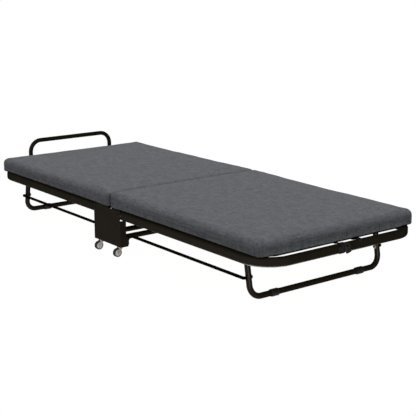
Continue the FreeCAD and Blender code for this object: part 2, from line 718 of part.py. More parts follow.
def end_strap():
    """The strap round the end rail, with its folded free end, and the tie over the rail beside it."""
    edge = STRAP_Y - WEBBING_WIDTH / 2
    free_end = box(
        (STRAP_FACE - WEBBING_THICKNESS, edge - FREE_END_REACH, RAIL_Z - 6),
        (STRAP_FACE + 1.5, edge + 1, RAIL_Z + 7),
    )
    free_end = free_end.makeFillet(0.9, [e for e in free_end.Edges if e.BoundBox.ZLength > 10])
    over_the_top = box((RAIL_END - 50, TIE_Y - 50, TIE_EDGE), (RAIL_END + 50, TIE_Y + 50, TIE_EDGE + 50))
    strap = fused([webbing_loop(STRAP_Y), webbing_tail(STRAP_Y), free_end])
    tie = fused([webbing_loop(TIE_Y).common(over_the_top), webbing_tail(TIE_Y)])
    return [strap, tie]


def strap_buckle():
    """The moulded buckle that hangs aslant on the outside of the strap."""
    corner = 3.5
    face = STRAP_FACE + 0.3
    outline = [Vector(face, y, z) for y, z in BUCKLE_OUTLINE]
    body = Part.Face(Part.makePolygon(outline + outline[:1])).extrude(Vector(BUCKLE_THICKNESS, 0, 0))
    corner_edges = [e for e in body.Edges if e.BoundBox.XLength > BUCKLE_THICKNESS - 0.1]
    body = body.makeFillet(corner, corner_edges)
    window = [Vector(face - 1, y, z) for y, z in BUCKLE_WINDOW]
    opening = Part.Face(Part.makePolygon(window + window[:1])).extrude(Vector(BUCKLE_THICKNESS + 2, 0, 0))
    return body.cut(opening)


# ---- Head bar -----------------------------------------------------------------------------------


def head_bar():
    """The bent tube that stands on the head end rail and stops the pillow."""
    x = -HEAD_BAR_X
    low = RAIL_Z + 2

    def bar(radius):
        points = [
            Vector(x, -HEAD_BAR_SPAN, low),
            Vector(x, -HEAD_BAR_SPAN, HEAD_BAR_TOP),
            Vector(x, HEAD_BAR_SPAN, HEAD_BAR_TOP),
            Vector(x, HEAD_BAR_SPAN, low),
        ]
        return round_bar(points, [HEAD_BAR_BEND, HEAD_BAR_BEND], radius)

    rail = oval_bar_y(-RAIL_END, RAIL_Z, RAIL_WIDTH, RAIL_HEIGHT, -400, 400)
    return bar(HEAD_BAR_RADIUS).cut([bar(HEAD_BAR_RADIUS - TUBE_WALL), rail])


# ---- Nodes --------------------------------------------------------------------------------------


def centre_nodes():
    """The centre unit's nodes."""
    cover = side_cover()
    tube = centre_tube()
    washers = []
    for washer in hinge_washers():
        washers += four_corners(washer)
    return {
        "near_side_cover": cover,
        "far_side_cover": other_side(cover),
        "caster_plates": group(both_sides(caster_plate())),
        "foot_side_centre_tube": tube,
        "head_side_centre_tube": head_end(tube),
        "hinge_posts": group(four_corners(hinge_post())),
        "hinge_bolts": group(four_corners(hinge_bolt())),
        "hinge_nuts": group(four_corners(hinge_nut())),
        "hinge_washers": group(washers),
        "rod_tabs": group(four_corners(rod_tab())),
        "caster_bearing_cups": group(four_corners(bearing_cup())),
    }


def caster_nodes():
    """Four casters, each a fork, an axle, a wheel and a tyre."""
    makers = {
        "fork": caster_fork(),
        "axle": caster_axle(),
        "wheel": caster_wheel(),
        "tyre": caster_tyre(),
    }
    places = ("near_foot", "far_foot", "near_head", "far_head")
    nodes = {}
    for piece, shape in makers.items():
        for place, placed in zip(places, four_corners(shape)):
            nodes[f"{place}_caster_{piece}"] = placed
    return nodes


def half_nodes():
    """The nodes of the foot half, by their names without the half's name."""
    near_rod = fold_rod()
    ears = []
    for ear in leg_ears():
        ears += both_sides(ear)
    holders = []
    for x in held_slats():
        holders += both_sides(slat_holder(x))
    return {
        "frame_rail": frame_rail(),
        "rail_plugs": group(both_sides(rail_plug())),
        "crossbars": group([crossbar(x) for x in CROSSBARS_X]),
        "leg_ears": group(ears),
        "leg_rivets": group(both_sides(leg_rivet())),
        "leg_tube": leg_tube(),
        "leg_sleeves": group(both_sides(foot_sleeve())),
        "near_rod": near_rod,
        "far_rod": other_side(near_rod),
        "push_nuts": group(both_sides(push_nut())),
        "slats": group([slat(x) for x in held_slats() + [SLAT_LAST_X]]),
        "slat_holders": group(holders),
        "mattress": mattress(),
        "mattress_fold_edge": mattress_fold_edge(),
        "strap": group(end_strap()),
        "buckle": strap_buckle(),
    }


def all_nodes():
    nodes = centre_nodes()
    nodes.update(caster_nodes())
    for name, shape in half_nodes().items():
        nodes[f"foot_{name}"] = shape
        nodes[f"head_{name}"] = head_end(shape)
    nodes["head_bar"] = head_bar()
    return nodes


def main():
    os.makedirs("parts", exist_ok=True)
    for name, shape in sorted(all_nodes().items()):
        if not shape.isValid():
            print("not valid:", name)
        shape.exportStep(os.path.join("parts", name + ".step"))
        b = shape.BoundBox
        corners = f"{b.XMin:8.1f} {b.YMin:8.1f} {b.ZMin:7.1f}   {b.XMax:8.1f} {b.YMax:8.1f} {b.ZMax:7.1f}"
        print(f"{name:28s} solids {len(shape.Solids):2d}  {shape.Volume / 1000:9.2f} cm3  {corners}")


main()
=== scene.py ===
"""The looks of the folding rollaway bed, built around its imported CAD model. Metres."""

import json
import math

import bmesh
import bpy
import numpy as np
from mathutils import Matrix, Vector
from mathutils.bvhtree import BVHTree


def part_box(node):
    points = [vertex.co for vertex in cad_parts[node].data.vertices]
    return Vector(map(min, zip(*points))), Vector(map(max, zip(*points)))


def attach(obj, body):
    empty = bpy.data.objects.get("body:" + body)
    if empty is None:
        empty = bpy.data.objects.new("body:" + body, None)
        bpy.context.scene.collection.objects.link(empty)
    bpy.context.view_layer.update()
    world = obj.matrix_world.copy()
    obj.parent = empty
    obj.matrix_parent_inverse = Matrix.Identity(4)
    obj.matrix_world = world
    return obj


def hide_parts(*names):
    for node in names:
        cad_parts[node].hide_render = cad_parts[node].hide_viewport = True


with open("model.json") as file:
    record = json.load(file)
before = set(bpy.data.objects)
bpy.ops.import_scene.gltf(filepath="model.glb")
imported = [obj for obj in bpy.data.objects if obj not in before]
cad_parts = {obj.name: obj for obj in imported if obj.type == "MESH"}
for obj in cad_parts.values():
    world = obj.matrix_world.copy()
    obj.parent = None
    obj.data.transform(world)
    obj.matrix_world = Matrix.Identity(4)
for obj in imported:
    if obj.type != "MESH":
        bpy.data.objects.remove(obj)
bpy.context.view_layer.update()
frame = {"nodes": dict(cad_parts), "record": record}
nodes = frame["nodes"]

# ---- Camera, light and floor --------------------------------------------------------------------

CAMERA_PLACE = (3.4109, -2.5180, 1.1661)
CAMERA_AZIMUTH = 52.23  # degrees; 0 looks along +Y and 90 along -X
CAMERA_PITCH = 13.73  # degrees below the horizon
CAMERA_LENS = 87.98
SENSOR_WIDTH = 36.0

SKY_LOW = 0.10  # the studio's light at the horizon
SKY_HIGH = 0.12  # and overhead
GROUND = 0.03
BACKDROP_SHADE = 0.10  # how much of the low light is left on the far side of the bed
FRONT = (0.80, -0.60)  # towards the camera's side
MATTRESS_LAMP = 2.9  # a lamp as broad as the ceiling, flagged off the frame
MATTRESS_LAMP_ANGLE = 160.0
MATTRESS_LAMP_TOWARDS = (-0.05, 0.05, -1.0)
FRAME_LAMP = 1.85  # a broad low lamp on the camera's side for the frame
FRAME_LAMP_ANGLE = 168.0
FRAME_LAMP_TOWARDS = (-0.52, 0.74, 0.42)
GLINT_LAMP = 2.2  # a narrower lamp that only shows as a highlight on the tubes
GLINT_LAMP_ANGLE = 34.0
GLINT_LAMP_TOWARDS = (-0.86, 0.49, -0.14)
FLOOR_GLINT = 9.5  # the same from the floor, for the underside of the bends
FLOOR_GLINT_ANGLE = 60.0
FLOOR_GLINT_TOWARDS = (0.15, -0.10, 0.98)
CASTER_LAMP = 0.6  # more light low down, on the casters only
CASTER_LAMP_TOWARDS = (-0.75, 0.62, -0.22)

FLOOR_REACH = 60.0
FLOOR_GLOW = 0.99
FLOOR_COLOUR = (0.10, 0.10, 0.10, 1.0)

# ---- Colours, linear ----------------------------------------------------------------------------

FABRIC_DARK = (0.068, 0.070, 0.077)
FABRIC_MID = (0.103, 0.106, 0.115)
FABRIC_LIGHT = (0.145, 0.148, 0.159)
THREAD = (0.160, 0.163, 0.174)
PAINT = (0.0179, 0.0137, 0.0077)
PAINT_WORN = (0.0230, 0.0182, 0.0112)
BIRCH_DARK = (0.34, 0.20, 0.10)
BIRCH_MID = (0.55, 0.38, 0.21)
BIRCH_LIGHT = (0.70, 0.53, 0.33)
BUCKLE_DARK = (0.022, 0.021, 0.020)
BUCKLE_LIGHT = (0.034, 0.033, 0.031)
SLEEVE_DARK = (0.009, 0.009, 0.009)
SLEEVE_LIGHT = (0.020, 0.019, 0.018)
HUB_DARK = (0.66, 0.66, 0.65)
HUB_LIGHT = (0.75, 0.75, 0.74)

# ---- Mattress -----------------------------------------------------------------------------------

WEAVE_PITCH = 0.0016
CELL = 0.0075  # spacing of the mattress mesh before its subdivision
DRAWN_IN = 0.0006  # the pad starts this much inside its solid, and then swells
TOP_ROUND = 0.024
BOTTOM_ROUND = 0.007
SPLIT_ROUND = 0.011
OUTER_CORNER = 0.023
SPLIT_CORNER = 0.016
SPLIT_GAP = 0.0011  # from the middle of the bed to each half
SWELL_CAP = 0.0035
FULLEST = 0.72  # height of the fullest part of the sides, as a share of the thickness
SIDE_BULGE = 0.0022
SIDE_TUCK = 0.0012
END_SAG = 0.0045
SPLIT_SAG = 0.0062  # between the two hinges, where no rail carries the mattress
EDGE_DROOP = 0.0036  # over the rounded outer side of the rails
SPLIT_DRIFT = 0.012  # how far the near end of the split is pushed towards the foot
# Height above the mattress's underside up to which its faces take the near-black cloth: painted shade
# over the rails.
PAINTED_SHADE_HEIGHT = 0.0050
FOOT_END_BULGE = 0.0040
HEAD_END_BULGE = 0.0006
SAG_START = 0.075  # the foam sags from this far inside each outer end
SAG_HALF_WIDTH = 0.345
SPLIT_SAG_END = 0.084  # from the middle of the bed to the end of the sag at the split
SPLIT_BLEND = 0.060
SIDE_SKIN = 0.012  # depth behind a side or end within which points follow its shape
DIMPLE_DEPTH = 0.0011
RIPPLE_DEPTH = 0.0009
SPLIT_WANDER = 0.0022
SWELL_FRAMES = 20
SWELL_PRESSURE = 4.0
CLOTH_STIFFNESS = 15.0
SEAM_HEIGHT = 0.222
SEAM_RADIUS = 0.0013
SEAM_STEPS = 150
CORNER_SEAMS = (33.0, 57.0)  # degrees round each outer corner
CORNER_SEAM_STEPS = 40

# ---- Straps -------------------------------------------------------------------------------------

WEBBING_WIDTH = 0.020
WEBBING_THICKNESS = 0.0019
# The webbing's cross-section as shares of its width and thickness, counter-clockwise from one edge.
WEBBING_PROFILE = (
    (0.500, 0.00),
    (0.492, 0.38),
    (0.455, 0.50),
    (0.30, 0.46),
    (0.0, 0.44),
    (-0.30, 0.46),
    (-0.455, 0.50),
    (-0.492, 0.38),
    (-0.500, 0.00),
    (-0.492, -0.38),
    (-0.455, -0.50),
    (0.0, -0.44),
    (0.455, -0.50),
    (0.492, -0.38),
)
LEAD_IN = 0.085  # how far inside the end rail the webbing starts to dip
FREE_END = 0.013  # how far the free end reaches past the strap's edge
FREE_END_LOOP = 0.0036
FOLD_RADIUS = 0.0009
STRAP_Y = -0.022
TIE_Y = 0.066
RAIL_X = 0.960
RAIL_Y = 0.3805
RAIL_MIDDLE_Z = 0.1735
RAIL_HALF_HEIGHT = 0.0185
RAIL_HALF_WIDTH = 0.010
UNDER_MATTRESS = 0.1902
UNDER_SAG = 0.1857
BUCKLE_CORNERS = ((-0.024, 0.195), (0.001, 0.191), (0.015, 0.158), (-0.009, 0.153))
BUCKLE_FACE = 0.9766
RIM_RADIUS = 0.0009
RIB_RADIUS = 0.0008
RIB_PLACES = (0.10, 0.22, 0.34, 0.46)  # up the buckle, as shares of its height
WELD_RADIUS = 0.0015
WELD_STANDOFF = 0.0006
WELD_RIPPLE = 0.18
HEAD_BAR_RADIUS = 0.010


class Material:
    """One material and short ways to add and link its nodes."""

    def __init__(self, name, roughness=0.5, metallic=0.0, specular=0.5):
        self.material = bpy.data.materials.new(name)
        self.material.use_nodes = True
        self.tree = self.material.node_tree
        self.surface = self.tree.nodes["Principled BSDF"]
        self.surface.inputs["Roughness"].default_value = roughness
        self.surface.inputs["Metallic"].default_value = metallic
        self.surface.inputs["Specular IOR Level"].default_value = specular

    def set(self, node, socket, value):
        """Links value to the socket if it is an output, and stores it there if it is a number."""
        target = node.inputs[socket]
        if isinstance(value, bpy.types.NodeSocket):
            self.tree.links.new(value, target)
        else:
            target.default_value = value

    def place(self, stretch=(1, 1, 1), uv=False):
        """Coordinates over the piece in metres, each multiplied by its number in stretch."""
        if uv:
            source = self.tree.nodes.new("ShaderNodeUVMap")
            source.uv_map = "weave"
            output = source.outputs["UV"]
        else:
            source = self.tree.nodes.new("ShaderNodeTexCoord")
            output = source.outputs["Object"]
        mapping = self.tree.nodes.new("ShaderNodeMapping")
        mapping.inputs["Scale"].default_value = stretch
        self.tree.links.new(output, mapping.inputs["Vector"])
        return mapping.outputs["Vector"]

    def noise(self, stretch, detail=2.0, rough=0.5, twist=0.0, uv=False):
        node = self.tree.nodes.new("ShaderNodeTexNoise")
        self.set(node, "Vector", self.place(stretch, uv))
        node.inputs["Scale"].default_value = 1.0
        node.inputs["Detail"].default_value = detail
        node.inputs["Roughness"].default_value = rough
        node.inputs["Distortion"].default_value = twist
        return node.outputs["Fac"]

    def bands(self, stretch, axis="X", twist=0.0, detail=0.0, uv=False):
        """Bands with one period to each unit of the stretched coordinate."""
        node = self.tree.nodes.new("ShaderNodeTexWave")
        node.bands_direction = axis
        self.set(node, "Vector", self.place(stretch, uv))
        node.inputs["Scale"].default_value = math.pi / 10
        node.inputs["Distortion"].default_value = twist
        node.inputs["Detail"].default_value = detail
        return node.outputs["Fac"]

    def sum(self, *values, kind="ADD"):
        total = values[0]
        for value in values[1:]:
            node = self.tree.nodes.new("ShaderNodeMath")
            node.operation = kind
            self.set(node, 0, total)
            self.set(node, 1, value)
            total = node.outputs["Value"]
        return total

    def times(self, *values):
        return self.sum(*values, kind="MULTIPLY")

    def spread(self, value, low, high, to_low=0.0, to_high=1.0):
        """value moved from the range low..high to another, and held inside it."""
        node = self.tree.nodes.new("ShaderNodeMapRange")
        self.set(node, "Value", value)
        node.inputs["From Min"].default_value = low
        node.inputs["From Max"].default_value = high
        node.inputs["To Min"].default_value = to_low
        node.inputs["To Max"].default_value = to_high
        return node.outputs["Result"]

    def ramp(self, value, *stops):
        """Colours at places from 0 to 1, each stop as (place, colour)."""
        node = self.tree.nodes.new("ShaderNodeValToRGB")
        elements = node.color_ramp.elements
        while len(elements) < len(stops):
            elements.new(0.5)
        for element, (where, colour) in zip(elements, stops):
            element.position = where
            element.color = (*colour, 1.0)
        self.set(node, "Fac", value)
        return node.outputs["Color"]

    def colour(self, value):
        self.set(self.surface, "Base Color", value)
        return self

    def roughness(self, value):
        self.set(self.surface, "Roughness", value)
        return self

    def bump(self, height, distance, strength=1.0):
        node = self.tree.nodes.new("ShaderNodeBump")
        node.inputs["Distance"].default_value = distance
        node.inputs["Strength"].default_value = strength
        self.set(node, "Height", height)
        self.set(self.surface, "Normal", node.outputs["Normal"])
        return self


def woven_fabric():
    """Grey heather cover: a plain weave of slubby two-tone yarn, brushed soft."""
    m = Material("heather_fabric", roughness=0.92, specular=0.15)
    long_slub = m.noise((17, 230, 1), detail=3.0, rough=0.62, twist=0.2, uv=True)
    cross_slub = m.noise((230, 17, 1), detail=3.0, rough=0.62, twist=0.2, uv=True)
    flecks = m.noise((420, 420, 1), detail=2.0, uv=True)
    clouds = m.noise((60, 95, 1), detail=4.0, rough=0.8, uv=True)
    patches = m.noise((24, 32, 1), detail=3.0, rough=0.6, uv=True)
    slubs = m.sum(m.times(long_slub, 0.23), m.times(cross_slub, 0.23))
    tone = m.sum(slubs, m.times(flecks, 0.12), m.times(clouds, 0.29), m.times(patches, 0.13))
    m.colour(m.ramp(tone, (0.425, FABRIC_DARK), (0.50, FABRIC_MID), (0.575, FABRIC_LIGHT)))
    warp = m.bands((1 / WEAVE_PITCH, 1 / WEAVE_PITCH, 1), "X", twist=0.3, uv=True)
    weft = m.bands((1 / WEAVE_PITCH, 1 / WEAVE_PITCH, 1), "Y", twist=0.3, uv=True)
    relief = m.sum(m.times(m.sum(warp, weft), 0.30), m.times(long_slub, 0.5), m.times(cross_slub, 0.4))
    m.bump(relief, 0.0007, 0.8)
    m.surface.inputs["Sheen Weight"].default_value = 0.08
    m.surface.inputs["Sheen Roughness"].default_value = 0.5
    m.surface.inputs["Sheen Tint"].default_value = (0.75, 0.78, 0.85, 1.0)
    return m.material


def painted_shade_underside_material():
    """Near-black cloth for the mattress's underside and lowest edge, painted shade for the dark gap over
    the rails, with a bump of dots.
    """
    m = Material("painted_shade_underside", roughness=0.95, specular=0.08)
    fibres = m.noise((600, 600, 1), detail=3.0, uv=True)
    # Painted shade: this near-black colour stands for the shadow between the mattress and the rails.
    m.colour(m.ramp(fibres, (0.3, (0.0035, 0.0034, 0.0033)), (0.7, (0.0085, 0.0082, 0.0080))))
    dots = m.times(m.bands((150, 150, 1), "X", uv=True), m.bands((150, 150, 1), "Y", uv=True))
    m.bump(m.sum(m.spread(dots, 0.6, 0.8), m.times(fibres, 0.2)), 0.0005)
    return m.material


def seam_thread():
    """Twisted sewing thread of the cover."""
    m = Material("seam_thread", roughness=0.85, specular=0.2)
    fuzz = m.noise((700, 700, 700), detail=2.0)
    m.colour(m.ramp(fuzz, (0.3, FABRIC_MID), (0.7, THREAD)))
    m.bump(fuzz, 0.0003)
    m.surface.inputs["Sheen Weight"].default_value = 0.1
    return m.material


def satin_paint():
    """Brown-black powder coat with a light orange peel and a little handling wear."""
    m = Material("satin_paint", specular=0.10)
    peel = m.noise((420, 420, 420), detail=1.0)
    patches = m.noise((16, 16, 16), detail=4.0, rough=0.65)
    specks = m.noise((900, 900, 900), detail=1.0)
    worn = m.spread(patches, 0.52, 0.72)
    m.colour(m.ramp(worn, (0.0, PAINT), (1.0, PAINT_WORN)))
    m.roughness(m.sum(m.spread(patches, 0.3, 0.7, 0.27, 0.38), m.spread(specks, 0.4, 0.7, 0.0, 0.06)))
    m.bump(m.sum(peel, m.times(specks, 0.25)), 0.00022, 0.6)
    return m.material


def dark_steel():
    """Black oxide fasteners."""
    m = Material("black_oxide", specular=0.2)
    grain = m.noise((500, 500, 500), detail=3.0)
    m.colour(m.ramp(grain, (0.3, (0.008, 0.007, 0.006)), (0.7, (0.016, 0.015, 0.013))))
    m.roughness(m.spread(grain, 0.3, 0.7, 0.35, 0.55))
    m.bump(grain, 0.0001)
    return m.material


def zinc():
    """Bright zinc plate with a faint yellow passivation."""
    m = Material("bright_zinc_plate", metallic=0.7)
    spangle = m.noise((260, 260, 260), detail=3.0)
    m.colour(m.ramp(spangle, (0.3, (0.50, 0.44, 0.33)), (0.7, (0.72, 0.68, 0.58))))
    m.roughness(m.spread(spangle, 0.3, 0.7, 0.24, 0.42))
    m.bump(spangle, 0.0001)
    return m.material


def pressed_steel():
    """Zinc-plated pressings of the casters, duller than the fasteners, rubbed along their length."""
    m = Material("caster_pressing", metallic=0.55)
    rub = m.noise((60, 60, 900), detail=3.0)
    stain = m.noise((70, 70, 70), detail=4.0)
    m.colour(m.ramp(stain, (0.32, (0.42, 0.385, 0.31)), (0.68, (0.66, 0.62, 0.54))))
    m.roughness(m.sum(m.spread(rub, 0.3, 0.7, 0.28, 0.42), m.times(stain, 0.12)))
    m.bump(m.sum(rub, stain), 0.00012)
    return m.material


def moulded_plastic(name, low, high, roughness, grain=650, relief=0.00015):
    """Moulded plastic with a fine eroded-tool texture."""
    m = Material(name, specular=0.45)
    texture = m.noise((grain, grain, grain), detail=2.0)
    flow = m.noise((28, 28, 28), detail=2.0)
    m.colour(m.ramp(m.sum(m.times(texture, 0.4), m.times(flow, 0.6)), (0.35, low), (0.65, high)))
    m.roughness(m.spread(flow, 0.3, 0.7, roughness - 0.06, roughness + 0.06))
    m.bump(texture, relief, 0.8)
    return m.material


def rubber():
    """Grey-black tread, dusty and lightly scuffed."""
    m = Material("tread_rubber", specular=0.3)
    scuff = m.noise((140, 140, 140), detail=5.0, rough=0.7)
    m.colour(m.ramp(scuff, (0.35, (0.016, 0.016, 0.017)), (0.7, (0.050, 0.048, 0.046))))
    m.roughness(m.spread(scuff, 0.3, 0.7, 0.62, 0.86))
    m.bump(scuff, 0.0003)
    return m.material


def birch():
    """Bent birch slats: straight fine grain along Y with darker growth lines."""
    m = Material("birch_slat", specular=0.3)
    fibre = m.noise((420, 9, 420), detail=4.0, rough=0.65)
    growth = m.bands((42, 1.6, 42), "X", twist=5.0, detail=2.0)
    board = m.noise((7, 1, 7), detail=1.0)
    tone = m.sum(m.times(fibre, 0.45), m.times(growth, 0.25), m.times(board, 0.30))
    m.colour(m.ramp(tone, (0.40, BIRCH_DARK), (0.50, BIRCH_MID), (0.60, BIRCH_LIGHT)))
    m.roughness(m.spread(fibre, 0.3, 0.7, 0.45, 0.62))
    m.bump(m.sum(fibre, m.times(growth, 0.5)), 0.0002)
    return m.material


def webbing_weave():
    """Black polypropylene webbing: ribs along it and a tight cross weave."""
    m = Material("webbing_weave", roughness=0.6, specular=0.4)
    ribs = m.bands((1, 1 / 0.0014, 1), "Y", uv=True)
    picks = m.bands((1 / 0.0011, 1, 1), "X", twist=0.4, uv=True)
    fuzz = m.noise((900, 900, 1), detail=2.0, uv=True)
    tone = m.sum(m.times(ribs, picks, 0.6), m.times(fuzz, 0.4))
    m.colour(m.ramp(tone, (0.1, (0.006, 0.006, 0.006)), (0.7, (0.026, 0.025, 0.024))))
    m.bump(tone, 0.0005)
    return m.material


def weld_metal():
    """The weld beads under the paint: rougher and more uneven than the tube."""
    m = Material("painted_weld", specular=0.35)
    ripple = m.noise((500, 500, 500), detail=3.0)
    m.colour(m.ramp(ripple, (0.3, PAINT), (0.7, PAINT_WORN)))
    m.roughness(m.spread(ripple, 0.3, 0.7, 0.40, 0.58))
    m.bump(ripple, 0.0006)
    return m.material


fabric = woven_fabric()
# The near-black underside cloth is painted shade.
painted_shade_cloth = painted_shade_underside_material()
thread = seam_thread()
webbing = webbing_weave()
weld = weld_metal()
SLOT_MATERIALS = {
    "frame_paint": satin_paint(),
    "dark_fasteners": dark_steel(),
    "bright_zinc": zinc(),
    "caster_steel": pressed_steel(),
    "nylon": moulded_plastic("natural_nylon", (0.30, 0.29, 0.26), (0.42, 0.41, 0.37), 0.45),
    "black_plastic": moulded_plastic("black_moulding", SLEEVE_DARK, SLEEVE_LIGHT, 0.48),
    "buckle_plastic": moulded_plastic("buckle_moulding", BUCKLE_DARK, BUCKLE_LIGHT, 0.26),
    "wheel_plastic": moulded_plastic("wheel_moulding", HUB_DARK, HUB_LIGHT, 0.40),
    "tyre_rubber": rubber(),
    "slat_wood": birch(),
    "mattress_fabric": fabric,
    "webbing": webbing,
}


def dress_cad_nodes():
    """Gives every CAD node the material of its slot."""
    for row in frame["record"]["subparts"]:
        data = nodes[row["node"]].data
        data.materials.clear()
        data.materials.append(SLOT_MATERIALS[row["material_slot"]])


# ---- Meshes -------------------------------------------------------------------------------------


def add_mesh(name, points, faces, material, uv=None, smooth=True):
    """A mesh object from points and faces. uv gives each face's corners in metres along the weave."""
    mesh = bpy.data.meshes.new(name)
    mesh.from_pydata([tuple(p) for p in points], [], [tuple(f) for f in faces])
    mesh.materials.append(material)
    if uv is not None:
        layer = mesh.uv_layers.new(name="weave")
        layer.data.foreach_set("uv", np.asarray(uv, np.float32).ravel())
    mesh.polygons.foreach_set("use_smooth", [smooth] * len(mesh.polygons))
    mesh.update()
    piece = bpy.data.objects.new(name, mesh)
    bpy.context.scene.collection.objects.link(piece)
    return piece


def finish_piece(piece, body, replaced=()):
    """Says which body the piece rides and which CAD nodes it stands for."""
    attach(piece, body)
    if replaced:
        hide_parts(*replaced)
    return piece


def box_surface(counts):
    """The quads of a box that is divided into cells: grid places, faces, and each face's side."""
    seen = {}
    places = []
    faces = []
    sides = []

    def corner(place):
        if place not in seen:
            seen[place] = len(places)
            places.append(place)
        return seen[place]

    for axis in range(3):
        u_axis = (axis + 1) % 3
        v_axis = (axis + 2) % 3
        for end in (0, counts[axis]):
            for u in range(counts[u_axis]):
                for v in range(counts[v_axis]):
                    quad = []
                    for du, dv in ((0, 0), (1, 0), (1, 1), (0, 1)):
                        place = [0, 0, 0]
                        place[axis] = end
                        place[u_axis] = u + du
                        place[v_axis] = v + dv
                        quad.append(corner(tuple(place)))
                    if end == 0:
                        quad.reverse()
                    faces.append(quad)
                    sides.append(axis)
    return np.array(places, float), faces, sides


def rounded_slab(low, high, cell, edge_of, corner_of):
    """A box with rounded edges. edge_of(x, top) and corner_of(x) give the radii at its places."""
    low = np.array(low)
    high = np.array(high)
    counts = [max(4, int(round(size / cell))) for size in high - low]
    places, faces, sides = box_surface(counts)
    middle = (low + high) / 2
    half = (high - low) / 2
    flat = places / np.array(counts) * 2 * half - half
    top = flat[:, 2] > 0
    edge = edge_of(flat[:, 0] + middle[0], top)
    corner = np.maximum(corner_of(flat[:, 0] + middle[0]), edge)
    inward = np.minimum(half[0] - np.abs(flat[:, 0]), half[1] - np.abs(flat[:, 1]))
    downward = half[2] - np.abs(flat[:, 2])
    near = (inward < edge) & (downward < edge)
    turn = np.where(
        downward < 1e-9,
        (1 - inward / edge) * math.pi / 4,
        math.pi / 4 * (1 + downward / edge),
    )
    new_inward = np.where(near, edge * (1 - np.sin(turn)), inward)
    new_downward = np.where(near, edge * (1 - np.cos(turn)), downward)
    out_x = np.abs(flat[:, 0]) - (half[0] - corner)
    out_y = np.abs(flat[:, 1]) - (half[1] - corner)
    reach = np.maximum(np.maximum(out_x, out_y), 1e-9)
    scale = (corner - new_inward) / reach
    beside = (out_x > 0) | (out_y > 0)
    both = (out_x > 0) & (out_y > 0)
    grown_x = np.where(beside & (out_x > 0), out_x * scale, out_x)
    grown_y = np.where(beside & (out_y > 0), out_y * scale, out_y)
    length = np.maximum(np.hypot(grown_x, grown_y), 1e-9)
    round_by = np.where(both, np.maximum(grown_x, grown_y) / length, 1.0)
    x = np.sign(flat[:, 0]) * (half[0] - corner + grown_x * round_by)
    y = np.sign(flat[:, 1]) * (half[1] - corner + grown_y * round_by)
    z = np.sign(flat[:, 2]) * (half[2] - new_downward)
    points = np.column_stack([x, y, z]) + middle
    across = {0: (1, 2), 1: (0, 2), 2: (0, 1)}
    source = flat + middle
    uv = []
    for quad, side in zip(faces, sides):
        a, b = across[side]
        for index in quad:
            uv.append((source[index][a], source[index][b]))
    return points, faces, uv


def wave(points, wavelengths, seed):
    """Smooth waves over x and y, about -1 to 1, the same on every run."""
    chance = np.random.RandomState(seed)
    total = np.zeros(len(points))
    for wavelength in wavelengths:
        for _ in range(4):
            heading = chance.uniform(0, math.pi)
            phase = chance.uniform(0, 2 * math.pi)
            along = points[:, 0] * math.cos(heading) + points[:, 1] * math.sin(heading)
            total += np.sin(along * 2 * math.pi / wavelength + phase)
    return total / (2.0 * len(wavelengths))


def mesh_points(piece):
    flat = np.zeros(len(piece.data.vertices) * 3)
    piece.data.vertices.foreach_get("co", flat)
    return flat.reshape(-1, 3)


def set_points(piece, points):
    piece.data.vertices.foreach_set("co", points.astype(np.float32).ravel())
    piece.data.update()


def swell(piece, held, cap):
    """Inflates the piece as cloth under a little pressure, with no point moving further than cap."""
    before = mesh_points(piece)
    group = piece.vertex_groups.new(name="held")
    for index in np.nonzero(held > 0)[0]:
        group.add([int(index)], float(held[index]), "REPLACE")
    cloth = piece.modifiers.new("cloth", "CLOTH")
    settings = cloth.settings
    settings.vertex_group_mass = "held"
    settings.use_pressure = True
    settings.uniform_pressure_force = SWELL_PRESSURE
    settings.effector_weights.gravity = 0.0
    settings.quality = 5
    settings.tension_stiffness = CLOTH_STIFFNESS
    settings.compression_stiffness = CLOTH_STIFFNESS
    settings.bending_stiffness = 0.5
    cloth.collision_settings.use_collision = False
    cloth.point_cache.frame_start = 1
    cloth.point_cache.frame_end = SWELL_FRAMES
    for number in range(1, SWELL_FRAMES + 1):
        bpy.context.scene.frame_set(number)
    graph = bpy.context.evaluated_depsgraph_get()
    shown = piece.evaluated_get(graph)
    after = np.zeros(len(before) * 3)
    shown.data.vertices.foreach_get("co", after)
    after = after.reshape(-1, 3)
    piece.modifiers.remove(cloth)
    piece.vertex_groups.remove(group)
    bpy.context.scene.frame_set(1)
    moved = after - before
    length = np.maximum(np.linalg.norm(moved, axis=1), 1e-12)
    share = cap * np.tanh(length / cap) / length
    set_points(piece, before + moved * share[:, None])


def subdivide_once(piece):
    """One level of subdivision, applied."""
    modifier = piece.modifiers.new("subdivision", "SUBSURF")
    modifier.levels = 1
    modifier.render_levels = 1
    modifier.boundary_smooth = "PRESERVE_CORNERS"
    graph = bpy.context.evaluated_depsgraph_get()
    mesh = bpy.data.meshes.new_from_object(piece.evaluated_get(graph))
    piece.modifiers.remove(modifier)
    old = piece.data
    name = old.name
    piece.data = mesh
    bpy.data.meshes.remove(old)
    mesh.name = name


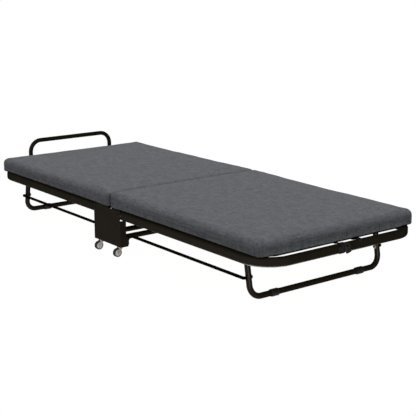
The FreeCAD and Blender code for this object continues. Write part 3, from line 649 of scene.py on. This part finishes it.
def mattress_half(half, sign, seed):
    """One mattress half: a foam slab in a sewn cover, crowned, rounded and lightly dimpled."""
    main = half + "_mattress"
    edge = half + "_mattress_fold_edge"
    low = Vector(map(min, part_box(main)[0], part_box(edge)[0]))
    high = Vector(map(max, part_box(main)[1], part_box(edge)[1]))
    end_x = high.x if sign > 0 else -low.x
    half_y = high.y - DRAWN_IN
    near_x = SPLIT_GAP
    far_x = end_x - DRAWN_IN

    def from_split(x):
        """0 at the split, 1 from SPLIT_BLEND away from it."""
        share = np.clip((x - near_x) / SPLIT_BLEND, 0, 1)
        return share * share * (3 - 2 * share)

    def edge_of(x, top):
        upper = SPLIT_ROUND + (TOP_ROUND - SPLIT_ROUND) * from_split(x)
        return np.where(top, upper, BOTTOM_ROUND)

    def corner_of(x):
        return np.where(x > (near_x + far_x) / 2, OUTER_CORNER, SPLIT_CORNER)

    points, faces, uv = rounded_slab(
        (near_x, -half_y, low.z), (far_x, half_y, high.z - DRAWN_IN), CELL, edge_of, corner_of
    )
    height = (points[:, 2] - low.z) / (high.z - low.z)
    lift = np.clip((height - 0.15) / 0.6, 0, 1)
    # The sides are fullest above the middle and tuck under towards the deck.
    belly = np.sin(np.clip(height, 0, 1) * math.pi)
    tuck = np.clip((FULLEST - height) / FULLEST, 0, 1) ** 1.5
    dimples = wave(points, (0.11, 0.19, 0.34), seed)
    ripple = wave(points[:, [0, 2, 1]], (0.085, 0.15), seed + 1)
    beside = np.clip((np.abs(points[:, 1]) - (half_y - SIDE_SKIN)) / SIDE_SKIN, 0, 1)
    outward = SIDE_BULGE - SIDE_TUCK * tuck + RIPPLE_DEPTH * ripple * belly
    # The foam sags a little beyond the last slat.
    beyond = np.clip((points[:, 0] - far_x + SAG_START) / 0.070, 0, 1)
    beyond *= np.clip((SAG_HALF_WIDTH - np.abs(points[:, 1])) / 0.04, 0, 1)
    sag = END_SAG * beyond * beyond * (3 - 2 * beyond)
    sag += SPLIT_SAG * np.clip((SPLIT_SAG_END - points[:, 0]) / 0.014, 0, 1)
    over = np.clip(np.abs(points[:, 1]) - RAIL_Y, 0, RAIL_HALF_WIDTH)
    sag += np.minimum(RAIL_HALF_WIDTH - np.sqrt(RAIL_HALF_WIDTH ** 2 - over ** 2), EDGE_DROOP)
    points[:, 2] -= sag * (1 - 0.9 * np.clip(height, 0, 1))
    points[:, 1] += np.sign(points[:, 1]) * beside * outward
    at_end = np.clip((points[:, 0] - (far_x - SIDE_SKIN)) / SIDE_SKIN, 0, 1)
    end_bulge = FOOT_END_BULGE if sign > 0 else HEAD_END_BULGE
    points[:, 0] += at_end * (outward - SIDE_BULGE + end_bulge)
    points[:, 2] += lift * DIMPLE_DEPTH * dimples * from_split(points[:, 0])
    # The split faces wander a little, so the line between the halves is not ruled.
    at_split = np.clip(1 - (points[:, 0] - near_x) / 0.020, 0, 1)
    wander = wave(np.column_stack([points[:, 1], np.zeros(len(points))]), (0.26, 0.55), 77)
    points[:, 0] += at_split * np.clip(sign * wander, 0, 1) * SPLIT_WANDER
    near_side = np.clip((-points[:, 1] - 0.23) / 0.16, 0, 1)
    near_split = np.clip(1 - (points[:, 0] - near_x) / 0.09, 0, 1)
    drift = sign * SPLIT_DRIFT * near_side * near_side
    points[:, 0] += drift * near_split * near_split * (3 - 2 * near_split)
    if sign < 0:
        points[:, 0] *= -1
        faces = [list(reversed(quad)) for quad in faces]
        corners = np.array(uv).reshape(-1, 4, 2)[:, ::-1]
        uv = corners.reshape(-1, 2) + np.array([0.37, 0.61])
    piece = add_mesh(half + "_mattress_pad", points, faces, fabric, uv)
    down = points[:, 2] < low.z + 0.004
    split = sign * points[:, 0] < near_x + 0.014
    held = np.where(down | split, 1.0, 0.0)
    swell(piece, held, SWELL_CAP)
    settled = mesh_points(piece)
    under = points[:, 2] < low.z
    settled[:, 0] = np.where(split, points[:, 0], settled[:, 0])
    settled[:, 2] = np.where(under, points[:, 2], np.maximum(settled[:, 2], low.z))
    set_points(piece, settled)
    subdivide_once(piece)
    # The underside and the lowest few millimetres of the sides take the near-black cloth: painted shade
    # where the mattress sits on the rails.
    piece.data.materials.append(painted_shade_cloth)
    for face in piece.data.polygons:
        if face.center.z < low.z + PAINTED_SHADE_HEIGHT and face.normal.z < 0.3:
            face.material_index = 1
    return finish_piece(piece, half + "_frame", (main, edge))


def surface_of(piece):
    """A tree of the piece's faces, to find places on it."""
    points = [v.co.copy() for v in piece.data.vertices]
    faces = [tuple(p.vertices) for p in piece.data.polygons]
    return BVHTree.FromPolygons(points, faces)


def tube_on(path, normals, radius, sink, name, material, sides=8):
    """A tube along points on a surface, sunk into it by a share of its radius, with closed ends."""
    points = []
    faces = []
    count = len(path)
    for index, (place, normal) in enumerate(zip(path, normals)):
        ahead = path[min(index + 1, count - 1)] - path[max(index - 1, 0)]
        ahead.normalize()
        up = normal - ahead * normal.dot(ahead)
        up.normalize()
        side = ahead.cross(up)
        ends = min(index, count - 1 - index)
        size = radius * min(1.0, 0.25 + 0.75 * ends)
        centre = place - up * radius * sink
        for step in range(sides):
            turn = 2 * math.pi * step / sides
            points.append(centre + up * size * math.cos(turn) + side * size * math.sin(turn))
    for index in range(count - 1):
        for step in range(sides):
            a = index * sides + step
            b = index * sides + (step + 1) % sides
            faces.append((a, a + sides, b + sides, b))
    faces.append(tuple(range(sides)))
    last = (count - 1) * sides
    faces.append(tuple(reversed(range(last, last + sides))))
    return add_mesh(name, points, faces, material)


def joined(pieces, name):
    """One object from several mesh objects."""
    made = bmesh.new()
    for piece in pieces:
        made.from_mesh(piece.data)
    mesh = bpy.data.meshes.new(name)
    made.to_mesh(mesh)
    made.free()
    for material in pieces[0].data.materials:
        mesh.materials.append(material)
    result = bpy.data.objects.new(name, mesh)
    bpy.context.scene.collection.objects.link(result)
    for piece in pieces:
        data = piece.data
        bpy.data.objects.remove(piece)
        bpy.data.meshes.remove(data)
    return result


def cast(tree, start, heading):
    """Where a ray first meets the surface, and the normal there."""
    place, normal, _, _ = tree.ray_cast(Vector(start), Vector(heading))
    return place, normal


def mattress_seams(half, sign, pad):
    """The seam along each long side, and the double upright seam at each outer corner."""
    tree = surface_of(pad)
    low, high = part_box(half + "_mattress")
    end_x = max(abs(low.x), abs(high.x))
    tubes = []
    corner_x = end_x - OUTER_CORNER
    corner_y = high.y - OUTER_CORNER
    for side in (-1, 1):
        path = []
        normals = []
        for index in range(SEAM_STEPS + 1):
            x = 0.012 + (corner_x - 0.004 - 0.012) * index / SEAM_STEPS
            drift = 0.0008 * math.sin(x * 23.0 + side) + 0.0005 * math.sin(x * 61.0)
            place, normal = cast(tree, (sign * x, side * 0.5, SEAM_HEIGHT + drift), (0, -side, 0))
            if place is not None:
                path.append(place)
                normals.append(normal)
        tubes.append(tube_on(path, normals, SEAM_RADIUS, 0.45, "seam", thread))
        for angle in CORNER_SEAMS:
            turn = math.radians(angle)
            heading = Vector((sign * math.cos(turn), side * math.sin(turn), 0))
            centre = Vector((sign * corner_x, side * corner_y, 0))
            path = []
            normals = []
            for index in range(CORNER_SEAM_STEPS + 1):
                z = low.z + 0.005 + (high.z - low.z - 0.016) * index / CORNER_SEAM_STEPS
                place, normal = cast(tree, centre + heading * 0.2 + Vector((0, 0, z)), -heading)
                if place is not None:
                    path.append(place)
                    normals.append(normal)
            tubes.append(tube_on(path, normals, SEAM_RADIUS * 0.9, 0.4, "seam", thread))
    seams = joined(tubes, half + "_mattress_seams")
    return finish_piece(seams, half + "_frame")


def ribbon(path, across, width, thickness, name):
    """A strip of webbing along a path, with rounded selvedges. across is its width's direction."""
    across = Vector(across).normalized()
    points = []
    faces = []
    uv = []
    sides = len(WEBBING_PROFILE)
    run = 0.0
    runs = []
    for index, place in enumerate(path):
        place = Vector(place)
        before = Vector(path[max(index - 1, 0)])
        ahead = Vector(path[min(index + 1, len(path) - 1)]) - before
        ahead.normalize()
        up = ahead.cross(across)
        up.normalize()
        if index:
            run += (place - before).length
        runs.append(run)
        for out, high in WEBBING_PROFILE:
            points.append(place + across * out * width + up * high * thickness)
    for index in range(len(path) - 1):
        for step in range(sides):
            after = (step + 1) % sides
            a = index * sides + step
            b = index * sides + after
            faces.append((a, b, b + sides, a + sides))
            out_a = WEBBING_PROFILE[step][0] * width
            out_b = WEBBING_PROFILE[after][0] * width
            here = runs[index]
            beyond = runs[index + 1]
            uv.extend([(here, out_a), (here, out_b), (beyond, out_b), (beyond, out_a)])
    last = (len(path) - 1) * sides
    faces.append(tuple(reversed(range(sides))))
    uv.extend([(0.0, WEBBING_PROFILE[step][0] * width) for step in reversed(range(sides))])
    faces.append(tuple(range(last, last + sides)))
    uv.extend([(run, WEBBING_PROFILE[step][0] * width) for step in range(sides)])
    return add_mesh(name, points, faces, webbing, uv)


def arc(centre, radius, from_degrees, to_degrees, steps):
    """Places on an arc in the XZ plane, as (x, z); 0 degrees is +X and 90 is up."""
    places = []
    for index in range(steps + 1):
        turn = math.radians(from_degrees + (to_degrees - from_degrees) * index / steps)
        places.append((centre[0] + radius * math.cos(turn), centre[1] + radius * math.sin(turn)))
    return places


def along(start, end, steps):
    """Places from start up to, but not at, end."""
    places = []
    for index in range(steps):
        share = index / steps
        places.append((start[0] + (end[0] - start[0]) * share, start[1] + (end[1] - start[1]) * share))
    return places


def end_webbing(half, sign):
    """The strap round the end rail with its folded free end, and the tie beside it."""
    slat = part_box(half + "_strap")
    inner_x = min(abs(slat[0].x), abs(slat[1].x))
    reach = RAIL_HALF_WIDTH + 0.00035 + WEBBING_THICKNESS / 2
    top = (RAIL_X, RAIL_MIDDLE_Z + RAIL_HALF_HEIGHT - RAIL_HALF_WIDTH)
    bottom = (RAIL_X, RAIL_MIDDLE_Z - RAIL_HALF_HEIGHT + RAIL_HALF_WIDTH)
    lead_in = along((inner_x, UNDER_MATTRESS), (RAIL_X - LEAD_IN, UNDER_MATTRESS), 8)
    for index in range(17):
        share = index / 16
        dip = math.sin(share * math.pi / 2) ** 2
        z = UNDER_MATTRESS + (UNDER_SAG - UNDER_MATTRESS) * dip
        lead_in.append((RAIL_X - LEAD_IN + 0.061 * share, z))
    lead_in += along((RAIL_X - 0.0225, UNDER_SAG + 0.0002), (RAIL_X - 0.0095, top[1] + 0.0082), 4)
    over = arc(top, reach, 125, 0, 14)
    round_under = along((RAIL_X + reach, top[1]), (RAIL_X + reach, bottom[1]), 6)[1:]
    round_under += arc(bottom, reach, 0, -180, 14)
    round_under += along((RAIL_X - reach, bottom[1]), (RAIL_X - reach, top[1] + 0.004), 6)[1:]
    pieces = []
    for y, line, width, seed in (
        (STRAP_Y, lead_in + over + round_under, WEBBING_WIDTH, 0.0),
        (TIE_Y, lead_in + over[:-1], WEBBING_WIDTH, 1.3),
    ):
        path = []
        for index, (x, z) in enumerate(line):
            drift = 0.0006 * math.sin(index * 0.31 + seed)
            path.append((sign * x, y + drift, z))
        pieces.append(ribbon(path, (0, 1, 0), width, WEBBING_THICKNESS, "webbing"))
    face = RAIL_X + reach + WEBBING_THICKNESS / 2 + 0.0007
    edge = STRAP_Y - WEBBING_WIDTH / 2
    fold = []
    for index in range(9):
        share = index / 8
        fold.append((face, edge + 0.004 - 0.017 * share, RAIL_MIDDLE_Z + 0.001 + 0.0012 * share))
    for index in range(1, 8):
        turn = math.pi * index / 7
        out = face + FOLD_RADIUS * (1 - math.cos(turn))
        fold.append((out, edge - FREE_END - FREE_END_LOOP * math.sin(turn), RAIL_MIDDLE_Z + 0.0022))
    for index in range(1, 7):
        back = edge - FREE_END + 0.0018 * index
        fold.append((face + 2 * FOLD_RADIUS, back, RAIL_MIDDLE_Z + 0.0022 - 0.0002 * index))
    fold = [(sign * x, y, z) for x, y, z in fold]
    pieces.append(ribbon(fold, (0, 0, 1), 0.0155, 0.0013, "webbing"))
    strap = joined(pieces, half + "_webbing")
    return finish_piece(strap, half + "_frame", (half + "_strap",))


def bead(path, radius, material, sides=8, closed=True, ripple=0.0):
    """A round bead along a path, closed into a ring or with pointed ends."""
    points = []
    faces = []
    count = len(path)
    for index, place in enumerate(path):
        before = path[(index - 1) % count] if closed else path[max(index - 1, 0)]
        after = path[(index + 1) % count] if closed else path[min(index + 1, count - 1)]
        ahead = (Vector(after) - Vector(before)).normalized()
        helper = Vector((0, 0, 1)) if abs(ahead.z) < 0.9 else Vector((1, 0, 0))
        side = ahead.cross(helper).normalized()
        up = side.cross(ahead)
        size = radius * (1 + ripple * math.sin(index * 2.4))
        if not closed:
            ends = min(index, count - 1 - index)
            size *= min(1.0, 0.35 + 0.65 * ends)
        for step in range(sides):
            turn = 2 * math.pi * step / sides
            points.append(Vector(place) + up * size * math.cos(turn) + side * size * math.sin(turn))
    for index in range(count if closed else count - 1):
        after = (index + 1) % count
        for step in range(sides):
            a = index * sides + step
            b = index * sides + (step + 1) % sides
            c = after * sides + (step + 1) % sides
            d = after * sides + step
            faces.append((a, d, c, b))
    if not closed:
        last = (count - 1) * sides
        faces.append(tuple(range(sides)))
        faces.append(tuple(reversed(range(last, last + sides))))
    return add_mesh("bead", points, faces, material)


def buckle_detail(half, sign):
    """The raised rim and the grip ribs of the buckle."""
    moulding = SLOT_MATERIALS["buckle_plastic"]
    middle_y = sum(y for y, _ in BUCKLE_CORNERS) / 4
    middle_z = sum(z for _, z in BUCKLE_CORNERS) / 4
    rim = []
    corners = []
    for y, z in BUCKLE_CORNERS:
        corners.append((middle_y + (y - middle_y) * 0.86, middle_z + (z - middle_z) * 0.90))
    for number in range(4):
        start = corners[number]
        end = corners[(number + 1) % 4]
        for step in range(8):
            share = 0.10 + 0.80 * step / 7
            y = start[0] + (end[0] - start[0]) * share
            z = start[1] + (end[1] - start[1]) * share
            rim.append((sign * BUCKLE_FACE, y, z))
    pieces = [bead(rim, RIM_RADIUS, moulding)]
    left = (corners[3], corners[0])
    right = (corners[2], corners[1])
    for share in RIB_PLACES:
        path = []
        start = [left[0][k] + (left[1][k] - left[0][k]) * share for k in (0, 1)]
        end = [right[0][k] + (right[1][k] - right[0][k]) * share for k in (0, 1)]
        for step in range(9):
            part = 0.16 + 0.68 * step / 8
            y = start[0] + (end[0] - start[0]) * part
            z = start[1] + (end[1] - start[1]) * part
            path.append((sign * BUCKLE_FACE, y, z))
        pieces.append(bead(path, RIB_RADIUS, moulding, closed=False))
    return finish_piece(joined(pieces, half + "_buckle_ribs"), half + "_frame")


def ring(centre, radius, steps=44):
    """Places on a circle round the Y axis."""
    x, y, z = centre
    places = []
    for index in range(steps):
        turn = 2 * math.pi * index / steps
        places.append((x + radius * math.cos(turn), y, z + radius * math.sin(turn)))
    return places


def frame_welds(half, sign):
    """Weld beads where the crossbars, and at the head the head bar, meet the rail."""
    low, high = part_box(half + "_crossbars")
    radius = (high.z - low.z) / 2
    z = (high.z + low.z) / 2
    first = min(abs(low.x), abs(high.x)) + radius
    last = max(abs(low.x), abs(high.x)) - radius
    pieces = []
    for x in (first, last):
        for y in (low.y + 0.0004, high.y - 0.0004):
            line = ring((sign * x, y, z), radius + WELD_STANDOFF)
            pieces.append(bead(line, WELD_RADIUS, weld, ripple=WELD_RIPPLE))
    if half == "head":
        low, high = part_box("head_bar")
        bar = HEAD_BAR_RADIUS
        x_middle = (low.x + high.x) / 2
        top_z = RAIL_MIDDLE_Z + RAIL_HALF_HEIGHT - RAIL_HALF_WIDTH
        for y in (low.y + bar, high.y - bar):
            path = []
            for index in range(48):
                turn = 2 * math.pi * index / 48
                x = x_middle + (bar + WELD_STANDOFF) * math.cos(turn)
                rise = RAIL_HALF_WIDTH ** 2 - (x + RAIL_X) ** 2
                height = top_z + math.sqrt(max(rise, 0.0)) + 0.0004
                path.append((x, y + (bar + WELD_STANDOFF) * math.sin(turn), height))
            pieces.append(bead(path, WELD_RADIUS, weld, ripple=WELD_RIPPLE))
    return finish_piece(joined(pieces, half + "_frame_welds"), half + "_frame")


def centre_welds():
    """Weld beads where the two centre tubes meet the side covers."""
    pieces = []
    for name in ("foot_side_centre_tube", "head_side_centre_tube"):
        low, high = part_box(name)
        radius = (high.z - low.z) / 2
        for y in (low.y + 0.0005, high.y - 0.0005):
            place = ((low.x + high.x) / 2, y, (low.z + high.z) / 2)
            line = ring(place, radius + WELD_STANDOFF)
            pieces.append(bead(line, WELD_RADIUS, weld, ripple=WELD_RIPPLE))
    return finish_piece(joined(pieces, "centre_welds"), "base")


# ---- Stage --------------------------------------------------------------------------------------


def make_floor():
    """A bright floor that only the camera sees."""
    points = [(-1, -1, 0), (1, -1, 0), (1, 1, 0), (-1, 1, 0)]
    points = [(x * FLOOR_REACH, y * FLOOR_REACH, -0.0002) for x, y, _ in points]
    m = Material("pale_floor", roughness=0.9, specular=0.1)
    m.surface.inputs["Base Color"].default_value = FLOOR_COLOUR
    m.surface.inputs["Emission Color"].default_value = (1, 1, 1, 1)
    m.surface.inputs["Emission Strength"].default_value = FLOOR_GLOW
    floor = add_mesh("floor", points, [(0, 1, 2, 3)], m.material)
    floor.visible_diffuse = False
    floor.visible_glossy = False
    floor.visible_shadow = False


def make_light():
    """A dim studio, darker behind the bed than in front of it, and white to the camera."""
    world = bpy.data.worlds.new("studio")
    bpy.context.scene.world = world
    world.use_nodes = True
    tree = world.node_tree
    background = tree.nodes["Background"]
    background.inputs["Color"].default_value = (1.0, 1.0, 1.0, 1.0)
    coordinates = tree.nodes.new("ShaderNodeTexCoord")
    split = tree.nodes.new("ShaderNodeSeparateXYZ")
    tree.links.new(coordinates.outputs["Generated"], split.inputs["Vector"])
    upward = split.outputs["Z"]

    def fill(node, socket, value):
        if isinstance(value, bpy.types.NodeSocket):
            tree.links.new(value, node.inputs[socket])
        else:
            node.inputs[socket].default_value = value

    def spread(value, low, high, to_low, to_high):
        node = tree.nodes.new("ShaderNodeMapRange")
        node.interpolation_type = "SMOOTHSTEP"
        for socket, part in zip((0, 1, 2, 3, 4), (value, low, high, to_low, to_high)):
            fill(node, socket, part)
        return node.outputs["Result"]

    def maths(kind, first, second):
        node = tree.nodes.new("ShaderNodeMath")
        node.operation = kind
        fill(node, 0, first)
        fill(node, 1, second)
        return node.outputs["Value"]

    toward_front = maths(
        "ADD",
        maths("MULTIPLY", split.outputs["X"], FRONT[0]),
        maths("MULTIPLY", split.outputs["Y"], FRONT[1]),
    )
    horizon = spread(upward, -0.04, 0.10, GROUND, SKY_LOW)
    above = maths("MULTIPLY", maths("MAXIMUM", upward, 0.0), SKY_HIGH - SKY_LOW)
    backdrop = spread(toward_front, -0.8, -0.1, BACKDROP_SHADE, 1.0)
    shade = spread(upward, 0.25, 0.65, backdrop, 1.0)
    light = maths("MULTIPLY", maths("ADD", horizon, above), shade)
    seen = tree.nodes.new("ShaderNodeLightPath").outputs["Is Camera Ray"]
    tree.links.new(maths("MAXIMUM", light, seen), background.inputs["Strength"])


def make_lamp(name, strength, degrees_across, towards, lit=()):
    """A broad distant lamp. With lit, it reaches only those pieces."""
    lamp = bpy.data.lights.new(name, "SUN")
    lamp.energy = strength
    lamp.angle = math.radians(degrees_across)
    piece = bpy.data.objects.new(name, lamp)
    piece.rotation_mode = "QUATERNION"
    piece.rotation_quaternion = Vector(towards).to_track_quat("-Z", "Y")
    bpy.context.scene.collection.objects.link(piece)
    if lit:
        receivers = bpy.data.collections.new(name + "_receivers")
        for receiver in lit:
            receivers.objects.link(receiver)
        piece.light_linking.receiver_collection = receivers
    return piece


def make_camera():
    """The camera that was fitted to the photo."""
    data = bpy.data.cameras.new("camera")
    data.lens = CAMERA_LENS
    data.sensor_width = SENSOR_WIDTH
    data.clip_end = 200.0
    camera = bpy.data.objects.new("camera", data)
    azimuth = math.radians(CAMERA_AZIMUTH)
    pitch = math.radians(CAMERA_PITCH)
    level = math.cos(pitch)
    ahead = Vector((-math.sin(azimuth) * level, math.cos(azimuth) * level, -math.sin(pitch)))
    camera.location = CAMERA_PLACE
    camera.rotation_mode = "QUATERNION"
    camera.rotation_quaternion = ahead.to_track_quat("-Z", "Y")
    bpy.context.scene.collection.objects.link(camera)
    bpy.context.scene.camera = camera
    bpy.context.scene.view_settings.view_transform = "Standard"


make_camera()
make_light()
make_floor()
dress_cad_nodes()
soft_pieces = []
for half, sign, seed in (("foot", 1, 11), ("head", -1, 29)):
    pad = mattress_half(half, sign, seed)
    soft_pieces.append(pad)
    soft_pieces.append(mattress_seams(half, sign, pad))
    end_webbing(half, sign)
    buckle_detail(half, sign)
    frame_welds(half, sign)
centre_welds()
meshes = [piece for piece in bpy.data.objects if piece.type == "MESH"]
hard_pieces = [piece for piece in meshes if piece.name != "floor" and piece not in soft_pieces]
make_lamp("mattress_lamp", MATTRESS_LAMP, MATTRESS_LAMP_ANGLE, MATTRESS_LAMP_TOWARDS, soft_pieces)
lit_pieces = [piece for piece in hard_pieces if not piece.name.endswith("_rod")]
make_lamp("frame_lamp", FRAME_LAMP, FRAME_LAMP_ANGLE, FRAME_LAMP_TOWARDS, lit_pieces)
tubes = [nodes[name] for name in ("foot_leg_tube", "head_leg_tube")]
rails = [nodes[name] for name in ("foot_frame_rail", "head_frame_rail")]
glints = [
    make_lamp("glint_lamp", GLINT_LAMP, GLINT_LAMP_ANGLE, GLINT_LAMP_TOWARDS, tubes),
    make_lamp("floor_glint", FLOOR_GLINT, FLOOR_GLINT_ANGLE, FLOOR_GLINT_TOWARDS, rails),
]
for glint in glints:
    glint.visible_diffuse = False
caster_pieces = [piece for piece in hard_pieces if "_caster_" in piece.name and "plate" not in piece.name]
make_lamp("caster_lamp", CASTER_LAMP, FRAME_LAMP_ANGLE, CASTER_LAMP_TOWARDS, caster_pieces)
